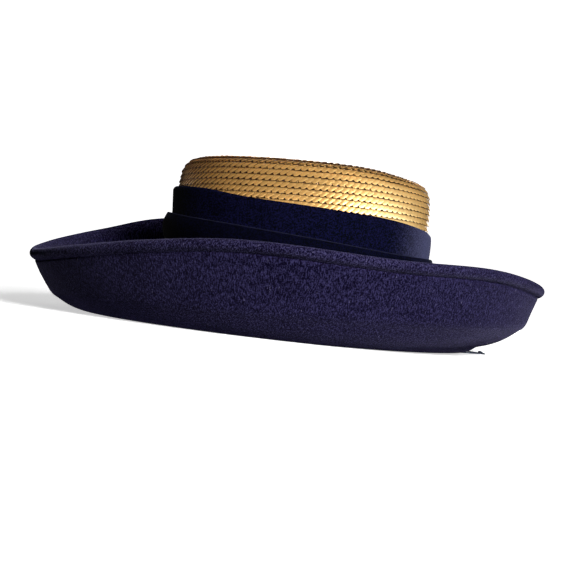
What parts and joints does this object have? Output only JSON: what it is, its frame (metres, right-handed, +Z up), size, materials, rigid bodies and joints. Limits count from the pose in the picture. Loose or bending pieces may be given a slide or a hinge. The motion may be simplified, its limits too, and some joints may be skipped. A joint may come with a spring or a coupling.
{
  "type": "wide-brim felt hat",
  "caption": "Wide-brim hat with an upturned felt brim and rolled lip, a flat-topped oval braid crown, velvet folds round its foot and a loop of thin elastic.",
  "frame": {"origin": "centre of the hat's length and width, on the surface that its brim rests on", "axes": "+X towards the back of the hat, +Y towards the wearer's right, +Z up through the crown"},
  "size_m": [0.4, 0.38, 0.1284],
  "materials": {
    "felt": "matte",
    "braid": "satin",
    "velvet": "matte",
    "elastic": "matte"
  },
  "bodies": {
    "root": {"brim": "felt", "crown": "braid", "band_upper": "velvet", "band_lower": "velvet", "hat_elastic": "elastic"}
  },
  "joints": []
}
